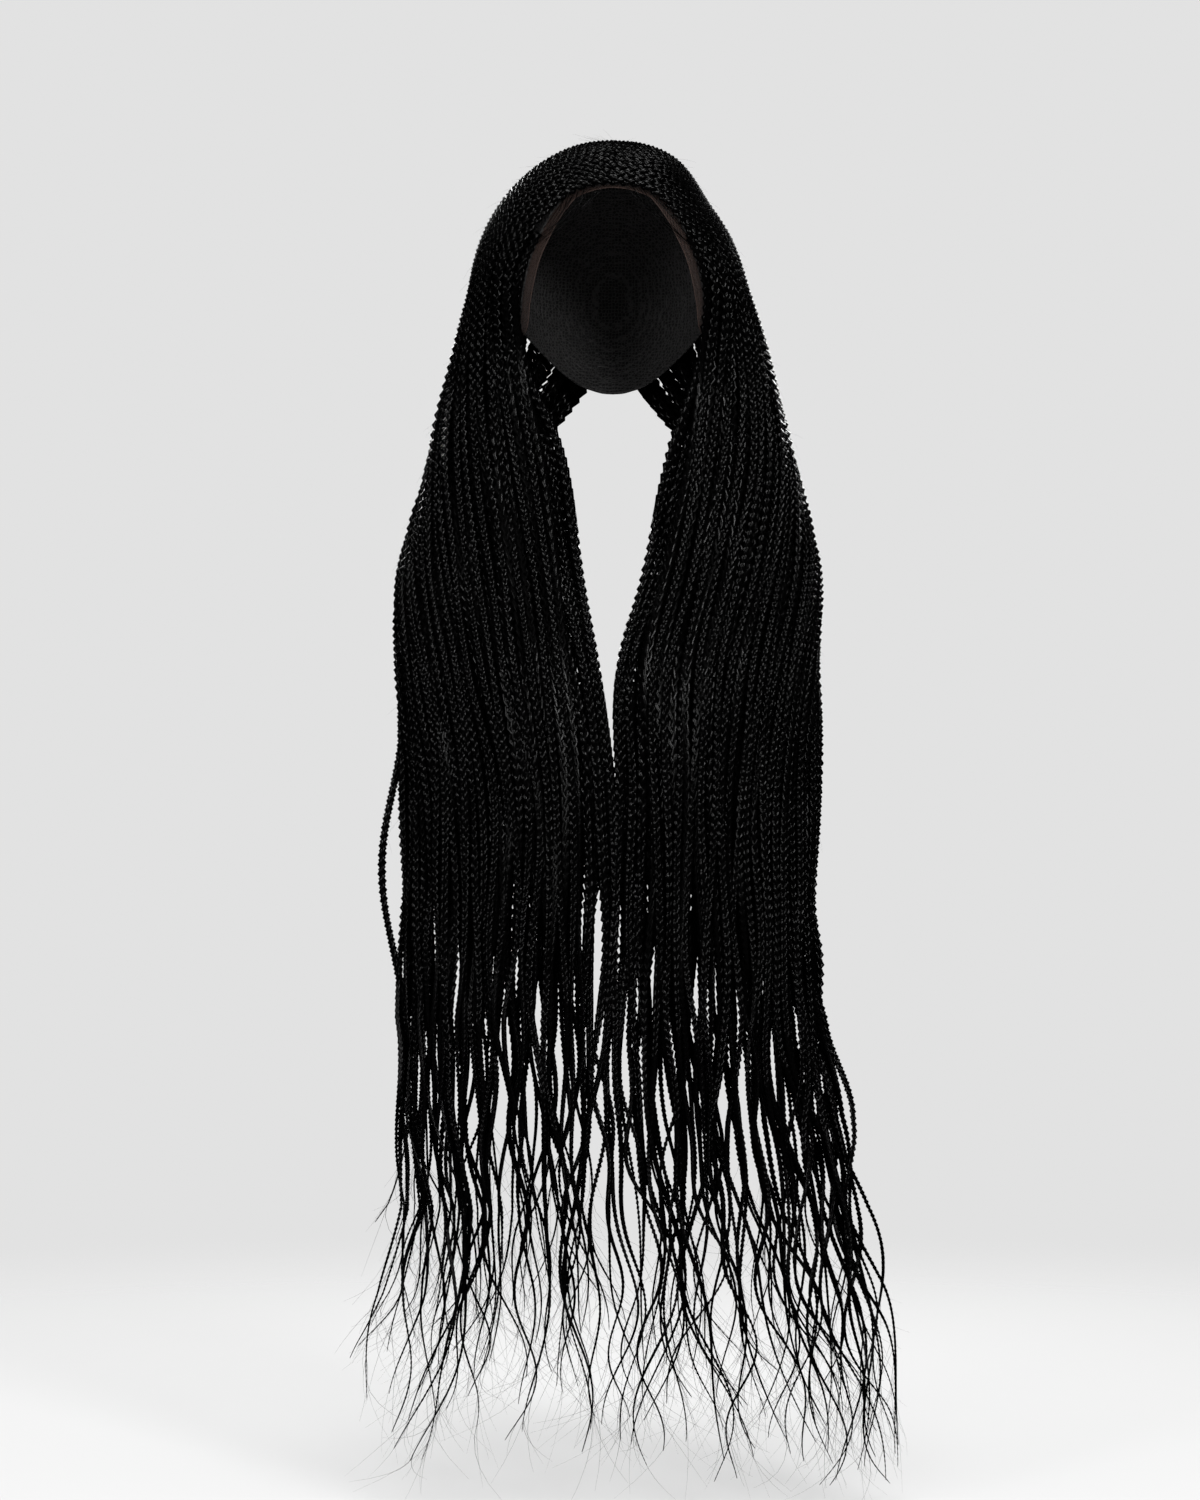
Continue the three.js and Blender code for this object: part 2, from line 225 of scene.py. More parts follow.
# How far a braid strays from its guide line at each level, sideways and in depth, and over what lengths.
WANDER_LEVELS = [-0.85, -0.75, -0.68, -0.60, -0.50, -0.35, -0.15, -0.05]
WANDER_ACROSS = [0.011, 0.010, 0.0085, 0.0062, 0.0028, 0.0018, 0.0013, 0.0003]
WANDER_ACROSS_WAVES = [0.16, 0.42]
WANDER_DEPTH = [0.008, 0.006, 0.005, 0.004, 0.0030, 0.0022, 0.0012, 0.0002]
WANDER_DEPTH_WAVES = [0.15, 0.36]
CURL_LEVELS = [-0.90, -0.80, -0.72, -0.66, -0.58]
CURL_ACROSS = [0.012, 0.010, 0.007, 0.0035, 0.0]
CURL_WAVES = [0.09, 0.22]
HOOK_LENGTH = 0.11
HOOK_SPREAD = 0.012
WAVE_SHARES = [0.6, 0.4]

# Braids that bow out of the outer edge, by half, lock and place: top level, bottom level, push outwards.
STRAYS = {
    ("left", 11, 1): (-0.39, -0.61, 0.0135),
    ("left", 11, 0): (-0.61, -0.73, 0.010),
    ("right", 11, 1): (-0.51, -0.615, 0.008),
    ("right", 11, 0): (-0.61, -0.74, 0.013),
}

# Loose hairs and braids stay this close to the solids' box.
LOOSE_BASE = 0.009
LOOSE_SHARE = 0.03
LOOSE_ROOM = LOOSE_BASE + LOOSE_SHARE * (np.array(cad_box[1]) - cad_box[0])
LOOSE_LOW = np.array(cad_box[0]) - LOOSE_ROOM
LOOSE_HIGH = np.array(cad_box[1]) + LOOSE_ROOM
EASE = 0.018
EASE_LOW = LOOSE_LOW[0] + EASE
EASE_HIGH = LOOSE_HIGH[0] - EASE

# Fine hairs that fan out of the ends of braids.
TIP_HAIRS = 9
TIP_ZONE = 0.09
TIP_FAN = 0.22
TIP_FAN_AXES = [1, 0.6, 0.5]
TIP_BEND = 0.5
TIP_BEND_AXES = [1, 0.6, 0.35]
TIP_LENGTHS = [0.02, 0.065]
TIP_RADII = [0.00009, 0.00018]
TIP_POINTS = 6

# Short hairs that stand off along the braids, from a share of their width.
FRONT_STUBS = 22
BEHIND_STUBS = 4
STUB_CROWDING = 1.7
STUB_ROOT = 0.36
STUB_WIDEST = 0.0074
STUB_LEANS = [0.4, 1.4]
STUB_DROOP = 0.5
STUB_BEND = 0.2
STUB_LENGTHS = [0.003, 0.011]
STUB_RADIUS = 0.00006
STUB_POINTS = 4

# Any loose hair.
HAIR_SIDES = 3
HAIR_TAPER = 0.75
HAIR_ACROSS = [0.31, 0.77, 0.55]

# The map on a tube: the length along it that one unit covers, and where it starts.
MAP_LENGTH = 0.02
MAP_STARTS = [0, 50]
MAP_STRAND_SHIFT = 7

# The cap's edge from the middle of the front round to the nape: the turn from the front in degrees, and how
# far it lies below the top in millimetres. Then the cap's rows, map, sewn wefts and hem.
CAP_EDGE = np.array([
    [0, 30], [17, 31], [31, 35], [40, 49], [45, 63], [50, 78],
    [57, 104], [66, 120], [92, 106], [120, 122], [150, 152], [168, 160.5], [180, 162],
])
EDGE_STEPS = 6
CAP_ROWS = 18
CAP_TOP_SHARE = 0.004
CAP_INSIDE = 0.0002
CAP_MAP = [20, 6]
WEFT_STEP = 4
WEFT_RISE = 0.0006
WEFT_SHARPNESS = 4
WEFT_FADE = [0.2, 0.35]
HEM_RADIUS = 0.0011
HEM_SIDES = 6
NORMAL_LENGTH = 0.01

# The lace along the hairline, its crossing threads and its edge cord of two strands.
LACE_GAP = 0.0003
LACE_HEIGHT = 0.0007
LACE_REACH_MIDDLE = 0.0035
LACE_REACH_TEMPLE = 0.011
LACE_TEMPLE_AZIMUTH = 46
LACE_END_AZIMUTH = 66
LACE_END_SLACK = 0.001
LACE_MESH = 0.0014
LACE_THREAD = 0.00013
LACE_THREAD_SIDES = 3
LACE_THREAD_POINTS = 9
LACE_THREAD_LEAST = 3
LACE_CROSSING = 0.00008
LACE_CORD = 0.00014
LACE_CORD_SIDES = 4
CORD_PITCH = 0.0028
CORD_POINTS = 7

# Baby hairs: groups of fine hairs laid from the hairline to the temples. Each row has the number of hairs,
# and for the first and the last of them the x and z of the root, of the bend and of the end in millimetres.
BABY_GROUPS = [
    (9, [(-8, -34), (-24, -58), (-52, -69)], [(-41, -42), (-45, -54), (-53, -67)]),
    (5, [(-20, -35), (-26, -54), (-44, -69)], [(-33, -38), (-37, -54), (-50, -68)]),
    (6, [(9, -33), (27, -58), (62, -76)], [(24, -35), (38, -56), (65, -82)]),
    (7, [(27, -36), (44, -58), (66, -83)], [(44, -42), (54, -60), (66, -86)]),
]
BABY_RADIUS = 0.00022
BABY_TAPER = 0.6
BABY_SIDES = 4
BABY_POINTS = 15
BABY_HEIGHT = 0.0012
BABY_SHUFFLE = 0.05
BABY_BEND_SPREAD = 0.0015
BABY_END_SPREAD = 0.0020
FORM_SIDE_MOST = 0.95
FORM_FRONT_LEAST = 0.03

# Colours in linear red, green and blue.
FIBRE_DARK = (0.0003, 0.0003, 0.0003)
FIBRE_LIGHT = (0.0012, 0.0011, 0.0012)
NET_THREAD = (0.030, 0.029, 0.029)
NET_HOLE = (0.005, 0.005, 0.005)
LACE_DARK = (0.030, 0.017, 0.013)
LACE_LIGHT = (0.085, 0.047, 0.036)
FLOOR_GREY = (0.66, 0.66, 0.66, 1)
WORLD_GREY = (0.76, 0.76, 0.76, 1)

# Camera, floor and light. Each light has a name, a place, the point it looks at, a diameter and watts.
IMAGE_SHAPE = (1200, 1500)
CAMERA_PLACE = (-0.0091, -3.25, -0.4176)
CAMERA_REACH = 50
VIEW_HEIGHT = 1.05
SENSOR = 36.0
FLOOR_LEVEL = -0.935
FLOOR_RADIUS = 5.0
FLOOR_SIDES = 96
FLOOR_FADE = [0.95, 2.0]
LIGHTS = [
    ("key", (1.2, -2.6, 0.8), (0, 0, -0.35), 0.6, 37),
    ("fill", (-1.5, -2.4, 0.2), (0, 0, -0.45), 0.8, 22),
    ("top", (0, -0.5, 1.7), (0, 0, -0.1), 0.6, 15),
    ("back_left", (-1.3, 2.5, 0.9), (0, 0, -0.3), 0.8, 27),
    ("back_right", (1.3, 2.5, 0.9), (0, 0, -0.3), 0.8, 27),
]


def make_camera():
    """A level camera straight in front."""
    data = bpy.data.cameras.new("photo_camera")
    data.sensor_fit = "VERTICAL"
    data.sensor_height = SENSOR
    data.sensor_width = SENSOR * IMAGE_SHAPE[0] / IMAGE_SHAPE[1]
    data.lens = SENSOR * -CAMERA_PLACE[1] / VIEW_HEIGHT
    data.clip_end = CAMERA_REACH
    camera = bpy.data.objects.new("photo_camera", data)
    camera.location = CAMERA_PLACE
    camera.rotation_euler = (math.radians(90), 0, 0)
    bpy.context.scene.collection.objects.link(camera)
    bpy.context.scene.camera = camera


# Small helpers on arrays of points.
def unit(vectors):
    return vectors / np.maximum(np.linalg.norm(vectors, axis=-1, keepdims=True), LEAST_LENGTH)


def smooth_step(value, low, high):
    share = np.clip((value - low) / (high - low), 0, 1)
    return share * share * (3 - 2 * share)


def lengths_along(path):
    """The length from the start of a path to each of its points."""
    return np.concatenate([[0], np.cumsum(np.linalg.norm(np.diff(path, axis=0), axis=1))])


def read_at(at, length, rows):
    """Points or directions that are known at some lengths, read at others."""
    return np.stack([np.interp(at, length, rows[:, k]) for k in range(3)], -1)


def on_form(points, out):
    """Where the way from the form's middle to each point leaves the form, moved out from the surface."""
    way = unit((points - FORM_CENTRE) / FORM_HALF)
    normal = unit(way / FORM_HALF)
    return way * FORM_HALF + FORM_CENTRE + normal * np.asarray(out)[..., None]


def form_points(azimuth, polar, out):
    """Points off the form by their turn from the front and their angle down from the top."""
    way = np.stack([np.sin(polar) * np.sin(azimuth), -np.sin(polar) * np.cos(azimuth), np.cos(polar)], -1)
    return on_form(way * FORM_HALF + FORM_CENTRE, out)


# The hair's guide surface, the same as in the part's source.
def line_shares(across):
    """Shares of the front, side and back lines in the curve through them."""
    front = 2 * (across - 0.5) * (across - 1)
    side = 4 * across * (1 - across)
    back = 2 * across * (across - 0.5)
    return np.stack([front, side, back], -1)


def line_slopes(across):
    return np.stack([4 * across - 3, 4 - 8 * across, 4 * across - 1], -1)


def thickness(half, across, station):
    """The hair's thickness at places across a half and at stations."""
    stations = np.arange(len(DEPTHS))
    return np.interp(station, stations, DEPTHS[:, half["column"]]) * (line_shares(across) @ DEPTH_PROFILE)


def station_points(half, lines, across, depth):
    """Where hairs at these places cross every station, as stations by hairs by xyz."""
    points = np.einsum("nl,slc->snc", line_shares(across), lines)
    along = np.einsum("nl,slc->snc", line_slopes(across), lines)
    thick = DEPTHS[:, half["column"], None] * (line_shares(across) @ DEPTH_PROFILE)
    crown = slice(0, SHED + 1)
    hanging = slice(SHED + 1, None)
    points[crown] = on_form(points[crown], CAP_WALL + CROWN_GAP + (1 - depth) * thick[crown])
    run = along[hanging]
    inward = unit(np.stack([-run[..., 1], run[..., 0], np.zeros(run.shape[:2])], -1))
    points[hanging] += inward * (depth * thick[hanging])[..., None]
    points[hanging, :, 0] *= half["reach"]
    points[HEM:, :, 0] *= half["tip_reach"]
    points[hanging, :, 0] += half["sign"] * LEANS[hanging, None] * (1 - across)
    return points


def crown_widths(half, across):
    """The widths of an outer braid: its room at the crown's stations, then the usual ones."""
    places = np.array([across - PLACE_NUDGE, across + PLACE_NUDGE])
    rows = station_points(half, OVER, places, np.full(2, 0.5))
    room = np.linalg.norm(rows[:, 1] - rows[:, 0], axis=1) / (2 * PLACE_NUDGE)
    room /= OUTER_LOCKS * len(FRONT_PLACES)
    widths = np.clip(CROWN_CLOSE * room, *CROWN_WIDTHS)
    return np.where(np.arange(TIP + 1) <= SHED, widths, STATION_WIDTHS)


def through_stations(rows, station):
    """The centripetal spline through each hair's station points, at one station a hair."""
    hair_row = np.arange(rows.shape[1])
    before = np.clip(np.floor(station).astype(int), 0, TIP - 1)
    share = (station - before)[:, None]
    p1 = rows[before, hair_row]
    p2 = rows[before + 1, hair_row]
    p0 = np.where((before > 0)[:, None], rows[np.maximum(before - 1, 0), hair_row], 2 * p1 - p2)
    p3 = np.where((before < TIP - 1)[:, None], rows[np.minimum(before + 2, TIP), hair_row], 2 * p2 - p1)
    t0 = np.sqrt(np.linalg.norm(p1 - p0, axis=1, keepdims=True)) + LEAST_ROOT
    t1 = np.sqrt(np.linalg.norm(p2 - p1, axis=1, keepdims=True)) + LEAST_ROOT
    t2 = np.sqrt(np.linalg.norm(p3 - p2, axis=1, keepdims=True)) + LEAST_ROOT
    m1 = t1 * ((p1 - p0) / t0 - (p2 - p0) / (t0 + t1) + (p2 - p1) / t1)
    m2 = t1 * ((p2 - p1) / t1 - (p3 - p1) / (t1 + t2) + (p3 - p2) / t2)
    return cubic(p1, p2, m1, m2, share)


def cubic(p1, p2, m1, m2, share):
    """The curve from one point to the next that has these slopes at its two ends."""
    square = -3 * p1 + 3 * p2 - 2 * m1 - m2
    cube = 2 * p1 - 2 * p2 + m1 + m2
    return p1 + m1 * share + square * share ** 2 + cube * share ** 3


def hair_points(half, lines, across, depth, station):
    """Points of the hair by place, depth and station. Over the cap they keep their height off the form."""
    points = through_stations(station_points(half, lines, across, depth), station)
    way = through_stations(station_points(half, lines, across, np.ones_like(depth)), station)
    crown = station < SHED
    height = CAP_WALL + CROWN_GAP + (1 - depth) * thickness(half, across, station)
    laid = on_form(way, height)
    laid[:, 0] -= smooth_step(-station, -PART_EDGE_FADE, 0) * (laid[:, 0] - PART_EDGE)
    points[crown] = laid[crown]
    points[:, 0] *= half["sign"]
    return points


# Meshes from arrays.
class Mesh:
    """Points, faces of four corners and a map that runs round and along each tube."""

    def __init__(self):
        self.points = []
        self.faces = []
        self.maps = []
        self.count = 0

    def grid(self, rows, around, along):
        """Closed rows of points joined to their neighbours. Around and along are the map's values."""
        steps, sides = rows.shape[:2]
        index = np.arange(steps * sides).reshape(steps, sides) + self.count
        here = np.arange(sides)
        there = (here + 1) % sides
        faces = np.stack([index[:-1, here], index[:-1, there], index[1:, there], index[1:, here]], -1)
        left = np.broadcast_to(around[here], (steps - 1, sides))
        right = np.broadcast_to(around[here + 1], (steps - 1, sides))
        low = np.broadcast_to(along[:-1, None], (steps - 1, sides))
        high = np.broadcast_to(along[1:, None], (steps - 1, sides))
        corners = [np.stack([left, low], -1), np.stack([right, low], -1)]
        corners += [np.stack([right, high], -1), np.stack([left, high], -1)]
        self.points.append(rows.reshape(-1, 3))
        self.faces.append(faces.reshape(-1, 4))
        self.maps.append(np.stack(corners, 2).reshape(-1, 2))
        self.count += steps * sides

    def tube(self, path, side, radius, sides, start=0.0, flat=1.0):
        """A tube along a path. Side is a direction across it, and flat thins it the other way."""
        radius = np.broadcast_to(radius, len(path))
        along = unit(np.gradient(path, axis=0))
        wide = unit(side - np.sum(side * along, 1, keepdims=True) * along)
        deep = np.cross(along, wide)
        angle = np.arange(sides) / sides * 2 * np.pi - np.pi / 2
        ring = np.cos(angle)[None, :, None] * wide[:, None]
        ring = ring + flat * np.sin(angle)[None, :, None] * deep[:, None]
        rows = path[:, None] + radius[:, None, None] * ring
        self.grid(rows, np.arange(sides + 1) / sides, start + lengths_along(path) / MAP_LENGTH)

    def piece(self, name, material, slot, *nodes):
        """The object, which rides on the root body and stands for these nodes."""
        points = np.concatenate(self.points)
        faces = np.concatenate(self.faces)
        data = bpy.data.meshes.new(name)
        data.vertices.add(len(points))
        data.vertices.foreach_set("co", points.astype(np.float32).ravel())
        data.loops.add(faces.size)
        data.loops.foreach_set("vertex_index", faces.astype(np.int32).ravel())
        data.polygons.add(len(faces))
        data.polygons.foreach_set("loop_start", np.arange(0, faces.size, faces.shape[1], dtype=np.int32))
        data.update(calc_edges=True)
        data.polygons.foreach_set("use_smooth", np.ones(len(faces), bool))
        layer = data.uv_layers.new(name="strand")
        layer.data.foreach_set("uv", np.concatenate(self.maps).astype(np.float32).ravel())
        data.materials.append(material)
        made = bpy.data.objects.new(name, data)
        bpy.context.scene.collection.objects.link(made)
        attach(made, "root")
        if nodes:
            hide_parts(*nodes)


# Materials.
class Nodes:
    """A material whose nodes are made by type and linked by socket name."""

    def __init__(self, name):
        self.material = bpy.data.materials.new(name)
        self.material.use_nodes = True
        self.tree = self.material.node_tree
        self.shader = self.tree.nodes["Principled BSDF"]

    def add(self, kind, **settings):
        node = self.tree.nodes.new("ShaderNode" + kind)
        for key, value in settings.items():
            if key in node.inputs:
                node.inputs[key].default_value = value
            else:
                setattr(node, key, value)
        return node

    def link(self, source, output, target, socket):
        self.tree.links.new(source.outputs[output], target.inputs[socket])

    def tone(self, source, output, stops):
        """A base colour that follows a pattern. Stops are places with their colours."""
        node = self.add("ValToRGB")
        self.link(source, output, node, "Fac")
        for element, (place, colour) in zip(node.color_ramp.elements, stops):
            element.position = place
            element.color = (*colour, 1)
        self.link(node, "Color", self.shader, "Base Color")

    def gloss(self, source, output, low, high):
        """A roughness between these two that follows a pattern."""
        node = self.add("MapRange", **{"To Min": low, "To Max": high})
        self.link(source, output, node, "Value")
        self.link(node, "Result", self.shader, "Roughness")

    def relief(self, source, output, strength, distance):
        """A bump that follows a pattern."""
        node = self.add("Bump", Strength=strength, Distance=distance)
        self.link(source, output, node, "Height")
        self.link(node, "Normal", self.shader, "Normal")


def hair_material():
    """Black synthetic fibre: fine streaks along each strand, and a tone that drifts from braid to braid."""
    made = Nodes("black_braid_fibre")
    layer = made.add("UVMap", uv_map="strand")
    stretch = made.add("Mapping", Scale=(13, 1.6, 1))
    made.link(layer, "UV", stretch, "Vector")
    fibre = made.add("TexNoise", Scale=1.0, Detail=4.0, Roughness=0.6)
    made.link(stretch, "Vector", fibre, "Vector")
    place = made.add("TexCoord")
    drift = made.add("TexNoise", Scale=55.0, Detail=2.0)
    made.link(place, "Object", drift, "Vector")
    blend = made.add("Math", operation="MULTIPLY")
    made.link(fibre, "Fac", blend, 0)
    made.link(drift, "Fac", blend, 1)
    made.tone(blend, "Value", [(0.10, FIBRE_DARK), (0.45, FIBRE_LIGHT)])
    made.gloss(fibre, "Fac", low=0.19, high=0.29)
    made.relief(fibre, "Fac", strength=0.45, distance=0.0003)
    made.shader.inputs["Specular IOR Level"].default_value = 0.13
    return made.material


def net_material():
    """Black stretch net: threads that stand out of darker holes."""
    made = Nodes("black_stretch_net")
    place = made.add("TexCoord")
    cells = made.add("TexVoronoi", feature="DISTANCE_TO_EDGE", Scale=420.0, Randomness=0.55)
    made.link(place, "Object", cells, "Vector")
    made.tone(cells, "Distance", [(0.08, NET_THREAD), (0.22, NET_HOLE)])
    height = made.add("MapRange", **{"From Max": 0.2, "To Min": 1.0, "To Max": 0.0})
    made.link(cells, "Distance", height, "Value")
    made.relief(height, "Result", strength=0.8, distance=0.0006)
    made.gloss(cells, "Distance", low=0.55, high=0.85)
    made.shader.inputs["Specular IOR Level"].default_value = 0.3
    return made.material


def lace_material():
    """Brown lace thread: a fine twist, and a tone that changes with it."""
    made = Nodes("brown_lace_thread")
    layer = made.add("UVMap", uv_map="strand")
    twist = made.add("TexWave", Scale=3.0, Distortion=1.5, Detail=2.0, bands_direction="DIAGONAL")
    made.link(layer, "UV", twist, "Vector")
    made.tone(twist, "Fac", [(0.2, LACE_DARK), (0.8, LACE_LIGHT)])
    made.relief(twist, "Fac", strength=0.4, distance=0.0002)
    made.gloss(twist, "Fac", low=0.5, high=0.75)
    return made.material


# Braids.
def waves(length, shortest, longest):
    """A smooth random line between about -1 and 1 over these lengths."""
    total = np.zeros_like(length)
    for share in WAVE_SHARES:
        wave = rng.uniform(shortest, longest)
        total += share * np.sin(2 * np.pi * (length / wave + rng.uniform()))
    return total


def held_in(x):
    """Places across the wig, eased back where they come near the room that the solids leave."""
    over = np.maximum(0, x - EASE_HIGH) - np.maximum(0, EASE_LOW - x)
    eased = EASE * (1 - np.exp(-np.abs(over) / EASE)) * np.sign(over)
    return np.clip(x, EASE_LOW, EASE_HIGH) + eased


def smoothed(points):
    """The points of a path, each averaged with its neighbours."""
    kernel = np.exp(-0.5 * (np.arange(-SMOOTH_REACH, SMOOTH_REACH + 1) / SMOOTH_WIDTH) ** 2)
    kernel /= kernel.sum()
    before = 2 * points[:1] - points[SMOOTH_REACH:0:-1]
    after = 2 * points[-1:] - points[-2:-SMOOTH_REACH - 2:-1]
    padded = np.concatenate([before, points, after])
    return np.stack([np.convolve(padded[:, k], kernel, "valid") for k in range(3)], -1)


def braid_path(half, lines, across, depth_of, start, longer, sway, sweep, push):
    """A braid's middle line at even steps: points, outward directions, stations and lengths."""
    station = np.linspace(start, TIP, PATH_SAMPLES)
    to_tip = np.maximum(0, (station - WAIST) / (TIP - WAIST))
    place = np.clip(across + sway * to_tip, *PLACE_ENDS)
    depth = depth_of(place, station)
    points = hair_points(half, lines, place, depth, station)
    outward = unit(points - hair_points(half, lines, place, depth + DEPTH_NUDGE, station))
    points[:, 2] -= longer * np.maximum(0, station - HEM)
    points[:, 0] += sweep * to_tip ** 2
    crossing = half["sign"] * rng.uniform(*PART_CROSSING)
    points[:, 0] -= crossing * smooth_step(-station, -PART_CROSSING_FADE, 0)
    length = lengths_along(points)
    steps = np.linspace(0, length[-1], int(length[-1] / PATH_STEP))
    points = smoothed(read_at(steps, length, points))
    outward = read_at(steps, length, outward)
    station = np.interp(steps, length, station)
    along = unit(np.gradient(points, axis=0))
    sideways = unit(np.cross(along, outward))
    level = points[:, 2]
    apart = np.interp(level, WANDER_LEVELS, WANDER_ACROSS) * waves(steps, *WANDER_ACROSS_WAVES)
    apart += np.interp(level, CURL_LEVELS, CURL_ACROSS) * waves(steps, *CURL_WAVES)
    apart += rng.normal(0, HOOK_SPREAD) * np.maximum(0, 1 - (steps[-1] - steps) / HOOK_LENGTH) ** 2
    deep = np.interp(level, WANDER_LEVELS, WANDER_DEPTH) * waves(steps, *WANDER_DEPTH_WAVES)
    points = points + sideways * apart[:, None] + outward * deep[:, None]
    points[:, 0] *= np.interp(level, DRAW_LEVELS, half["draw"])
    if push:
        top, bottom, most = push
        share = np.clip((top - level) / (top - bottom), 0, 1)
        points[:, 0] += half["sign"] * most * np.sin(np.pi * share) ** 2
    points[:, 0] = held_in(points[:, 0])
    return points, outward, station, steps


def braid(path, widths, coarse_below, sides, crown_mesh, lock_mesh):
    """Three strands plaited along a path. What lies above the shed goes into a crown's mesh."""
    points, outward, station, steps = path
    wide = np.interp(station, np.arange(TIP + 1), widths)
    wide = np.minimum(wide, np.interp(steps[-1] - steps, END_LENGTHS, END_WIDTHS))
    wide *= 1 + WIDTH_DRIFT * waves(steps, *WIDTH_WAVES)
    period = np.interp(station, [SHED, SHED + 1], [CROWN_PERIOD, HANGING_PERIOD]) * wide
    turns = np.cumsum(PATH_STEP / np.maximum(period, SHORTEST_PERIOD)) + rng.uniform()
    along = unit(np.gradient(points, axis=0))
    up = unit(outward - np.sum(outward * along, 1, keepdims=True) * along)
    side = np.cross(along, up)
    twist = (smooth_step(station, *TWIST_STATIONS) * TWIST * waves(steps, *TWIST_WAVES))[:, None]
    turned_side = np.cos(twist) * side + np.sin(twist) * up
    turned_up = np.cos(twist) * up - np.sin(twist) * side
    shed = np.interp(SHED, station, steps) if crown_mesh else 0
    start = rng.uniform(*MAP_STARTS)
    for strand in range(STRANDS):
        ring_count = RINGS_A_TURN * (turns + strand / STRANDS)
        rings = np.arange(math.ceil(ring_count[0]), ring_count[-1])
        at = np.interp(rings, ring_count, steps)
        at = at[(rings % 2 == 1) | (np.interp(at, steps, wide) > coarse_below)]
        at = np.concatenate([steps[:1], at, steps[-1:]])
        angle = 2 * np.pi / RINGS_A_TURN * np.interp(at, steps, ring_count)
        here = np.interp(at, steps, wide)
        across = read_at(at, steps, turned_side)
        middle = read_at(at, steps, points) + across * (STRAND_SWING * here * np.sin(angle))[:, None]
        middle = middle - read_at(at, steps, turned_up) * (STRAND_DIP * here * np.sin(2 * angle))[:, None]
        size = (STRAND_HALF_WIDTH + STRAND_SWELL * np.abs(np.sin(2 * angle))) * here
        size *= rng.uniform(*STRAND_VARIETY)
        size[-1] *= STRAND_END
        split = int(np.searchsorted(at, shed))
        if split > 1:
            upper = slice(0, split + 1)
            crown_mesh.tube(middle[upper], across[upper], size[upper], sides, start, STRAND_FLAT)
        lower = slice(split, None)
        lower_start = start + MAP_STRAND_SHIFT * strand
        lock_mesh.tube(middle[lower], across[lower], size[lower], sides, lower_start, STRAND_FLAT)


# Loose hairs.
def hair(mesh, start, direction, bend, length, radius, steps):
    """One loose hair that leaves along a direction and bends as it goes, if it stays near the other hair."""
    share = np.linspace(0, 1, steps)[:, None]
    path = start + direction * length * share + bend * length * share ** 2
    if np.any(path < LOOSE_LOW) or np.any(path > LOOSE_HIGH):
        return
    side = np.broadcast_to(np.cross(direction, HAIR_ACROSS), path.shape)
    mesh.tube(path, side, radius * (1 - HAIR_TAPER * share[:, 0]), HAIR_SIDES, rng.uniform(*MAP_STARTS))


def loose_hairs(mesh, path, tips, stubs):
    """Fine hairs that fan out of a braid's end, and short ones that stand off along it."""
    points, _, _, steps = path
    along = unit(np.gradient(points, axis=0))
    for _ in range(tips):
        at = int(np.interp(steps[-1] - rng.uniform(0, TIP_ZONE), steps, np.arange(len(steps))))
        direction = unit(along[at] + TIP_FAN * rng.normal(size=3) * TIP_FAN_AXES)
        bend = TIP_BEND * rng.normal(size=3) * TIP_BEND_AXES
        length = rng.uniform(*TIP_LENGTHS)
        hair(mesh, points[at], direction, bend, length, rng.uniform(*TIP_RADII), TIP_POINTS)
    for _ in range(stubs):
        at = int(len(steps) * rng.uniform() ** STUB_CROWDING)
        spread = unit(rng.normal(size=3))
        spread = unit(spread - np.sum(spread * along[at]) * along[at])
        width = min(STUB_WIDEST, np.interp(steps[-1] - steps[at], END_LENGTHS, END_WIDTHS))
        root = points[at] + spread * (STUB_ROOT * width)
        direction = unit(along[at] * rng.uniform(*STUB_LEANS) + spread)
        bend = STUB_DROOP * along[at] + STUB_BEND * rng.normal(size=3)
        hair(mesh, root, direction, bend, rng.uniform(*STUB_LENGTHS), STUB_RADIUS, STUB_POINTS)


# Locks and halves.
def lock_habits(half, locks, phase, index):
    """How much longer than usual a lock is, and how far its end swings sideways."""
    turn = index * VARIETY + phase + half["sign"]
    return half["longer"] + TIP_SPREAD * math.sin(turn), TIP_SWAY / locks * math.sin(2 * turn + 1)


def end_sweep(half, across):
    """How far a braid's end is carried towards +X."""
    middle, change = half["sweep"]
    return np.clip(rng.normal(middle + change * across, SWEEP_SPREAD), *SWEEP_ENDS)


def extra_length(half, longer, across):
    """How much lower than usual a braid of a longer lock ends."""
    drop = np.interp(across, [0, 1], half["drop"])
    return min(LONGEST, longer + rng.normal(drop, LENGTH_SPREAD))


def front_depth(half, sunk, across, station):
    """Just under the hair's surface, and sunk a little more below the crown."""
    thick = thickness(half, across, station)
    centre = np.minimum(FRONT_CENTRE, 0.5 * thick + FRONT_OVER)
    return (centre + sunk * smooth_step(station, SHED - 1, SHED + 1)) / thick


def behind_depth(half, across, station):
    """On the cap first, then well inside the hair."""
    thick = thickness(half, across, station)
    laid = 1 - CROWN_LIFT / thick
    sunken = np.maximum(BEHIND_DEPTH, BEHIND_LEAST / thick)
    return laid + (sunken - laid) * smooth_step(station, FILL_START, FILL_END)


def inner_depth(half, level, across, station):
    """On the cap first, then at a level of its own."""
    laid = 1 - CROWN_LIFT / thickness(half, across, station)
    return laid + (level - laid) * smooth_step(station, INNER_START, INNER_END)


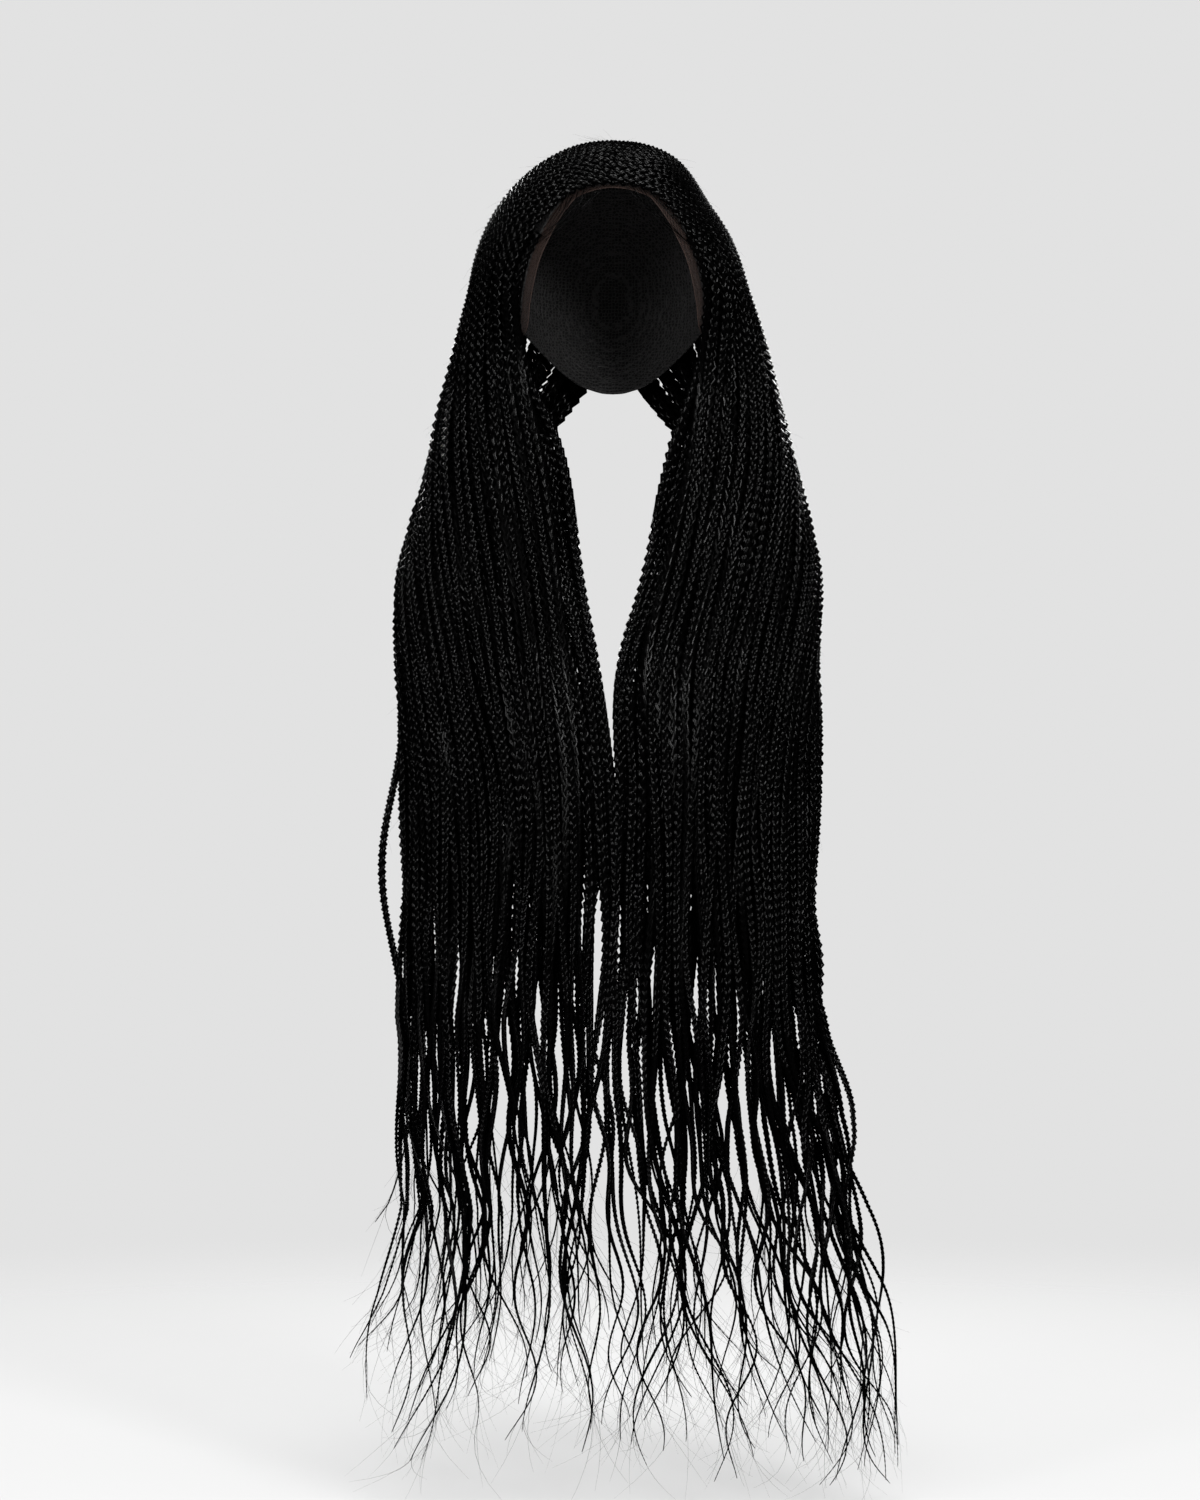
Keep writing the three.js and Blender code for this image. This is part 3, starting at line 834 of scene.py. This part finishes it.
def outer_lock(half, lock, crown, fluff):
    """The braids of an outer lock: the ones that show in front, and those that fill the hair behind them."""
    mesh = Mesh()
    longer, sway = lock_habits(half, OUTER_LOCKS, OUTER_PHASE, lock)
    last = BACK_PLACES if lock == OUTER_LOCKS - 1 else []
    for place, share in enumerate(FRONT_PLACES + BEHIND_PLACES + last):
        front = place < len(FRONT_PLACES)
        across = (lock + share + rng.uniform(-PLACE_JITTER, PLACE_JITTER)) / OUTER_LOCKS
        if front:
            depth_of = partial(front_depth, half, rng.uniform(0, FRONT_SUNK))
        else:
            depth_of = partial(behind_depth, half)
        sweep = end_sweep(half, across)
        more = extra_length(half, longer, across)
        start = FILL_START if not front and across < FILLED_CROWN else 0.0
        push = STRAYS.get((half["name"], lock, place))
        path = braid_path(half, OVER, across, depth_of, start, more, sway, sweep, push)
        if front:
            widths = crown_widths(half, across) * rng.uniform(*FRONT_VARIETY)
            braid(path, widths, FRONT_COARSE, FRONT_SIDES, crown, mesh)
        else:
            widths = FILL_WIDTHS * rng.uniform(*FILL_VARIETY)
            braid(path, widths, BEHIND_COARSE, BEHIND_SIDES, crown, mesh)
        loose_hairs(fluff, path, TIP_HAIRS, FRONT_STUBS if front else BEHIND_STUBS)
    return mesh


def inner_lock(half, lock, fluff):
    """The braids of an inner lock, which close the front."""
    mesh = Mesh()
    longer, sway = lock_habits(half, INNER_LOCKS, INNER_PHASE, lock)
    shown = lock == SHOWN_LOCK
    coarse, sides = (FRONT_COARSE, FRONT_SIDES) if shown else (BEHIND_COARSE, BEHIND_SIDES)
    for place in range(INNER_BRAIDS[lock]):
        share = (place + 0.5 + rng.uniform(-INNER_JITTER, INNER_JITTER)) / INNER_BRAIDS[lock]
        across = (lock + share) / INNER_LOCKS
        depth_of = partial(inner_depth, half, INNER_DEPTHS[(lock + place) % len(INNER_DEPTHS)])
        sweep = end_sweep(half, across)
        more = extra_length(half, longer, across)
        bow = (*EDGE_BOW_LEVELS, EDGE_BOW * max(0, 1 - across * INNER_LOCKS))
        path = braid_path(half, UNDER, across, depth_of, INNER_START, more, sway, sweep, bow)
        at_edge = shown and place < EDGE_BRAIDS
        widths = np.minimum(FILL_WIDTHS, EDGE_FILL * STATION_WIDTHS) if at_edge else FILL_WIDTHS
        braid(path, widths * rng.uniform(*FILL_VARIETY), coarse, sides, None, mesh)
        loose_hairs(fluff, path, TIP_HAIRS, BEHIND_STUBS)
    return mesh


def make_half(half, material):
    """A piece for each lock of one half, one for its crown and one for its loose hairs."""
    name = half["name"]
    crown = Mesh()
    fluff = Mesh()
    for lock in range(OUTER_LOCKS):
        label = f"{name}_outer_{lock + 1:02d}"
        outer_lock(half, lock, crown, fluff).piece(f"braids_{label}", material, "braids", f"lock_{label}")
    for lock in range(INNER_LOCKS):
        label = f"{name}_inner_{lock + 1:02d}"
        inner_lock(half, lock, fluff).piece(f"braids_{label}", material, "braids", f"lock_{label}")
    crown.piece(f"crown_{name}", material, "braids", f"crown_braids_{name}")
    fluff.piece(f"loose_hairs_{name}", material, "braids")


# The cap, the lace and the baby hairs.
def edge_places():
    """The cap's edge once round from the nape by the left side: azimuths and polar angles."""
    rows = np.concatenate([CAP_EDGE[:1], CAP_EDGE, CAP_EDGE[-1:]]).astype(float)
    share = np.arange(EDGE_STEPS)[:, None] / EDGE_STEPS
    places = []
    for k in range(len(CAP_EDGE) - 1):
        p0, p1, p2, p3 = rows[k:k + 4]
        places.append(cubic(p1, p2, (p2 - p0) / 2, (p3 - p1) / 2, share))
    right = np.concatenate([*places, CAP_EDGE[-1:]])
    both = np.concatenate([right[:0:-1] * [-1, 1], right[:-1]])
    return np.radians(both[:, 0]), np.arccos(1 - both[:, 1] * MM / FORM_HALF[2])


def make_cap(material):
    """An inner and an outer wall of net, with sewn rows inside and a hem round the edge."""
    azimuth, polar = edge_places()
    mesh = Mesh()
    around = np.arange(len(azimuth) + 1) / len(azimuth) * CAP_MAP[0]
    share = np.linspace(CAP_TOP_SHARE, 1, CAP_ROWS * 2)
    sewn = np.maximum(0, np.cos(2 * np.pi * share * CAP_ROWS / WEFT_STEP)) ** WEFT_SHARPNESS
    sewn = sewn * smooth_step(share, *WEFT_FADE)
    inside = CAP_INSIDE - WEFT_RISE * sewn
    outside = np.full(len(share), CAP_WALL)
    for heights, turn in [(inside, -1), (outside, 1)]:
        rows = [form_points(azimuth, polar * s, np.full(len(azimuth), h)) for s, h in zip(share, heights)]
        mesh.grid(np.stack(rows)[:, ::turn], around, share * CAP_MAP[1])
    hem = form_points(azimuth, polar, np.full(len(azimuth), CAP_WALL / 2))
    hem = np.concatenate([hem, hem[:2]])
    side = on_form(hem, np.full(len(hem), NORMAL_LENGTH)) - on_form(hem, np.zeros(len(hem)))
    mesh.tube(hem, side, HEM_RADIUS, HEM_SIDES)
    mesh.piece("cap_net", material, "net_cap", "cap")


def make_lace(material):
    """Threads that cross on the slant beyond the cap's edge, and a twisted cord along their far ends."""
    azimuth, polar = edge_places()
    run = np.abs(azimuth) <= math.radians(LACE_END_AZIMUTH) + LACE_END_SLACK
    azimuth = azimuth[run]
    hairline = form_points(azimuth, polar[run], np.zeros(run.sum()))
    length = lengths_along(hairline)
    normal = on_form(hairline, np.ones(len(hairline))) - hairline
    away = unit(np.cross(np.gradient(hairline, axis=0), normal))
    to_temple = smooth_step(np.abs(azimuth), 0, math.radians(LACE_TEMPLE_AZIMUTH))
    reach = LACE_REACH_MIDDLE + (LACE_REACH_TEMPLE - LACE_REACH_MIDDLE) * to_temple

    def strip(at, over, height):
        """Points of the lace, from the length along the hairline and the share of its reach."""
        far = LACE_GAP + over * np.interp(at, length, reach)
        points = read_at(at, length, hairline) + unit(read_at(at, length, away)) * far[:, None]
        return on_form(points, np.broadcast_to(height, len(at)))

    mesh = Mesh()
    over = np.linspace(0, 1, LACE_THREAD_POINTS)
    for slant in (-1, 1):
        first = -LACE_REACH_TEMPLE
        for start in np.arange(first, length[-1] + LACE_REACH_TEMPLE, LACE_MESH * math.sqrt(2)):
            at = start + slant * over * np.interp(np.clip(start, 0, length[-1]), length, reach)
            inside = (at >= 0) & (at <= length[-1])
            if inside.sum() < LACE_THREAD_LEAST:
                continue
            path = strip(at[inside], over[inside], LACE_HEIGHT + LACE_CROSSING * slant)
            side = np.broadcast_to(np.gradient(path, axis=0)[0][[1, 2, 0]], path.shape)
            mesh.tube(path, side, LACE_THREAD, LACE_THREAD_SIDES, rng.uniform(*MAP_STARTS))
    at = np.linspace(0, length[-1], int(length[-1] / CORD_PITCH * CORD_POINTS))
    middle = strip(at, np.ones(len(at)), LACE_HEIGHT)
    along = unit(np.gradient(middle, axis=0))
    rise = unit(on_form(middle, np.ones(len(middle))) - on_form(middle, np.zeros(len(middle))))
    side = np.cross(along, rise)
    for turn in (0, math.pi):
        angle = 2 * np.pi * at / CORD_PITCH + turn
        path = middle + LACE_CORD * (np.cos(angle)[:, None] * side + np.sin(angle)[:, None] * rise)
        mesh.tube(path, side, LACE_CORD, LACE_CORD_SIDES, turn)
    mesh.piece("lace_net", material, "lace", "lace_front")


def make_baby_hairs(material):
    """Fine hairs that bend from the hairline to the temples, just off the form."""
    mesh = Mesh()
    share = np.linspace(0, 1, BABY_POINTS)[:, None]
    for count, first, last in BABY_GROUPS:
        for k in range(count):
            mix = np.clip(k / max(count - 1, 1) + rng.normal(0, BABY_SHUFFLE), 0, 1)
            root, bend, end = MM * (np.array(first) * (1 - mix) + np.array(last) * mix)
            bend = bend + rng.normal(0, BABY_BEND_SPREAD, 2)
            end = end + rng.normal(0, BABY_END_SPREAD, 2)
            flat = root * (1 - share) ** 2 + bend * 2 * share * (1 - share) + end * share ** 2
            x = np.clip(flat[:, 0] / FORM_HALF[0], -FORM_SIDE_MOST, FORM_SIDE_MOST)
            z = (flat[:, 1] - FORM_CENTRE[2]) / FORM_HALF[2]
            y = -FORM_HALF[1] * np.sqrt(np.maximum(FORM_FRONT_LEAST, 1 - x * x - z * z))
            path = np.stack([x * FORM_HALF[0], y, flat[:, 1]], -1)
            path = on_form(path, np.full(BABY_POINTS, BABY_HEIGHT))
            side = on_form(path, np.full(BABY_POINTS, NORMAL_LENGTH)) - path
            radius = BABY_RADIUS * (1 - BABY_TAPER * share[:, 0] ** 2)
            mesh.tube(path, side, radius, BABY_SIDES, rng.uniform(*MAP_STARTS))
    mesh.piece("baby_hairs", material, "braids")


# Floor, background and light.
def make_stage():
    """A pale disc that fades out and a pale world, which the gloss of the hair doesn't mirror."""
    angle = np.linspace(0, 2 * np.pi, FLOOR_SIDES + 1)[:-1]
    ring = np.stack([np.cos(angle), np.sin(angle), np.zeros(FLOOR_SIDES)], -1) * FLOOR_RADIUS
    data = bpy.data.meshes.new("floor")
    data.from_pydata((ring + [0, 0, FLOOR_LEVEL]).tolist(), [], [list(range(FLOOR_SIDES))])
    floor = bpy.data.objects.new("floor", data)
    bpy.context.scene.collection.objects.link(floor)
    made = Nodes("pale_floor")
    made.shader.inputs["Base Color"].default_value = FLOOR_GREY
    made.shader.inputs["Roughness"].default_value = 0.9
    made.shader.inputs["Specular IOR Level"].default_value = 0.1
    place = made.add("NewGeometry")
    far = made.add("VectorMath", operation="LENGTH")
    made.link(place, "Position", far, 0)
    fade = made.add("MapRange", interpolation_type="SMOOTHSTEP")
    fade.inputs["From Min"].default_value = FLOOR_FADE[0]
    fade.inputs["From Max"].default_value = FLOOR_FADE[1]
    made.link(far, "Value", fade, "Value")
    clear = made.add("BsdfTransparent")
    mix = made.add("MixShader")
    made.link(fade, "Result", mix, 0)
    made.link(made.shader, "BSDF", mix, 1)
    made.link(clear, "BSDF", mix, 2)
    made.link(mix, "Shader", made.tree.nodes["Material Output"], "Surface")
    data.materials.append(made.material)
    floor.visible_glossy = False
    world = bpy.data.worlds.new("pale_studio")
    bpy.context.scene.world = world
    world.use_nodes = True
    background = world.node_tree.nodes["Background"]
    background.inputs["Color"].default_value = WORLD_GREY
    background.inputs["Strength"].default_value = 1.0
    world.cycles_visibility.glossy = False


def make_light(name, place, target, size, power):
    """A round area light that looks at a point."""
    data = bpy.data.lights.new(name, "AREA")
    data.shape = "DISK"
    data.size = size
    data.energy = power
    light = bpy.data.objects.new(name, data)
    light.location = place
    light.rotation_euler = (Vector(target) - Vector(place)).to_track_quat("-Z", "Y").to_euler()
    bpy.context.scene.collection.objects.link(light)


make_camera()
make_stage()
for light_row in LIGHTS:
    make_light(*light_row)
bpy.context.scene.view_settings.view_transform = "Standard"
black_fibre = hair_material()
for half_row in HALVES:
    make_half(half_row, black_fibre)
make_cap(net_material())
make_lace(lace_material())
make_baby_hairs(black_fibre)
